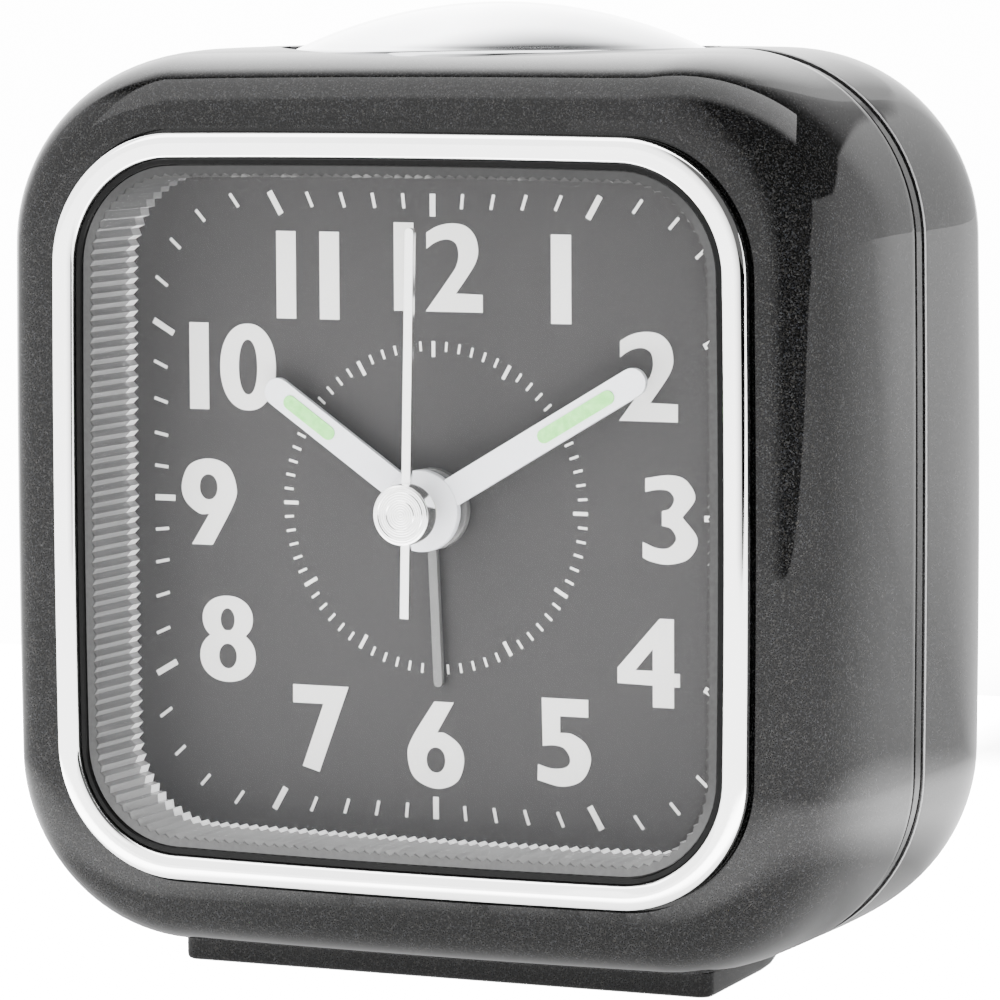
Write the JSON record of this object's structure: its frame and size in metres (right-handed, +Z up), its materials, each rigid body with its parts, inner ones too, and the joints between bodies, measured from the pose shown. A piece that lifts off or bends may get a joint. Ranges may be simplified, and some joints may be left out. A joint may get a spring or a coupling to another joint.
{
  "type": "alarm clock",
  "caption": "Small square bedside alarm clock with a dark glossy case, a chrome ring round a numbered dial, four hands and an oval chrome snooze dome on top",
  "frame": {"origin": "middle of the bounding box in x and y, on the resting surface under the foot", "axes": "+Z up, the dial faces -Y, +X to the right of somebody reading the dial"},
  "size_m": [0.0738, 0.0428, 0.079],
  "materials": {
    "case_paint": "moulded plastic with dark charcoal metallic flake paint under a clear gloss coat",
    "chrome": "bright chrome plating, mirror smooth",
    "clear_plastic": "clear, polished",
    "dial_grey": "satin grey dial print",
    "white_plastic": "satin white",
    "grey_plastic": "satin grey",
    "black_plastic": "satin black",
    "natural_plastic": "unpainted acetal",
    "steel": "bright steel",
    "battery_can": "plain metal can, no print",
    "brass": "turned brass",
    "copper": "enamelled copper wire",
    "board_green": "green solder resist on a fibreglass board"
  },
  "bodies": {
    "clock": {"front_case": "case_paint", "rear_case": "case_paint", "trim_ring": "chrome", "lens": "clear_plastic", "light_guide": "clear_plastic", "dial": "dial_grey", "base_foot": "case_paint", "case_screw_1": "steel", "case_screw_2": "steel", "case_screw_3": "steel", "case_screw_4": "steel", "button_return_spring": "steel", "snooze_switch": "black_plastic", "movement_housing": "white_plastic", "middle_plate": "white_plastic", "movement_cover": "white_plastic", "motor_stator": "steel", "motor_coil": "copper", "circuit_board": "board_green", "control_chip": "black_plastic", "quartz_crystal": "steel", "sounder": "black_plastic", "dial_led": "clear_plastic", "slide_switch": "steel", "battery_cell": "battery_can", "battery_plus_contact": "steel", "battery_minus_spring": "steel"},
    "snooze": {"snooze_button": "chrome"},
    "seconds": {"second_hand": "steel", "seconds_wheel": "steel"},
    "intermediate": {"intermediate_wheel": "natural_plastic"},
    "rotor": {"motor_rotor": "steel"},
    "third": {"third_wheel": "natural_plastic"},
    "centre": {"centre_wheel": "natural_plastic"},
    "minutes": {"minute_hand": "white_plastic", "cannon_pinion": "brass"},
    "minute_work": {"minute_work_wheel": "natural_plastic"},
    "hours": {"hour_hand": "white_plastic", "hour_wheel": "natural_plastic"},
    "time_knob": {"time_set_knob": "grey_plastic"},
    "alarm_time": {"alarm_hand": "grey_plastic", "alarm_wheel": "natural_plastic"},
    "alarm_knob": {"alarm_set_knob": "grey_plastic"},
    "alarm_switch": {"alarm_slide_knob": "grey_plastic"},
    "lid": {"battery_cover": "case_paint"}
  },
  "joints": [
    {"name": "seconds_spin", "type": "hinge", "parent": "clock", "child": "seconds", "pos_m": [0, -0.01295, 0.0385], "axis": [0, 1, 0], "continuous": true},
    {"name": "intermediate_spin", "type": "hinge", "parent": "clock", "child": "intermediate", "pos_m": [0.00478, -0.01295, 0.04251], "axis": [0, 1, 0], "continuous": true},
    {"name": "rotor_spin", "type": "hinge", "parent": "clock", "child": "rotor", "pos_m": [0.00896, -0.01295, 0.04602], "axis": [0, 1, 0], "continuous": true},
    {"name": "third_spin", "type": "hinge", "parent": "clock", "child": "third", "pos_m": [-0.00514, -0.01295, 0.04463], "axis": [0, 1, 0], "continuous": true},
    {"name": "centre_spin", "type": "hinge", "parent": "clock", "child": "centre", "pos_m": [0, -0.01295, 0.0385], "axis": [0, 1, 0], "continuous": true},
    {"name": "minute_spin", "type": "hinge", "parent": "clock", "child": "minutes", "pos_m": [0, -0.01295, 0.0385], "axis": [0, 1, 0], "continuous": true},
    {"name": "minute_work_spin", "type": "hinge", "parent": "clock", "child": "minute_work", "pos_m": [-0.0072, -0.01295, 0.0385], "axis": [0, 1, 0], "continuous": true},
    {"name": "hour_spin", "type": "hinge", "parent": "clock", "child": "hours", "pos_m": [0, -0.01295, 0.0385], "axis": [0, 1, 0], "continuous": true},
    {"name": "time_knob_spin", "type": "hinge", "parent": "clock", "child": "time_knob", "pos_m": [-0.0144, -0.01295, 0.0385], "axis": [0, 1, 0], "continuous": true},
    {"name": "alarm_spin", "type": "hinge", "parent": "clock", "child": "alarm_time", "pos_m": [0, -0.01295, 0.0385], "axis": [0, 1, 0], "continuous": true},
    {"name": "alarm_knob_spin", "type": "hinge", "parent": "clock", "child": "alarm_knob", "pos_m": [0.0144, -0.01295, 0.0385], "axis": [0, 1, 0], "continuous": true},
    {"name": "snooze_press", "type": "slide", "parent": "clock", "child": "snooze", "axis": [0, 0, -1], "range_m": [0, 0.0012], "stiffness_N_per_m": 1200, "deforming": ["button_return_spring"]},
    {"name": "alarm_switch_slide", "type": "slide", "parent": "clock", "child": "alarm_switch", "axis": [1, 0, 0], "range_m": [0, 0.004]},
    {"name": "battery_cover_lift", "type": "slide", "parent": "clock", "child": "lid", "axis": [0, 1, 0], "range_m": [0, 0.02]}
  ],
  "couplings": [
    {"joint": "intermediate_spin", "follows": "seconds_spin", "ratio": -5},
    {"joint": "rotor_spin", "follows": "seconds_spin", "ratio": 30},
    {"joint": "third_spin", "follows": "seconds_spin", "ratio": -0.13333},
    {"joint": "centre_spin", "follows": "seconds_spin", "ratio": 0.016667},
    {"joint": "minute_work_spin", "follows": "minute_spin", "ratio": -0.33333},
    {"joint": "hour_spin", "follows": "minute_spin", "ratio": 0.083333},
    {"joint": "time_knob_spin", "follows": "minute_spin", "ratio": 1},
    {"joint": "alarm_knob_spin", "follows": "alarm_spin", "ratio": -2}
  ]
}
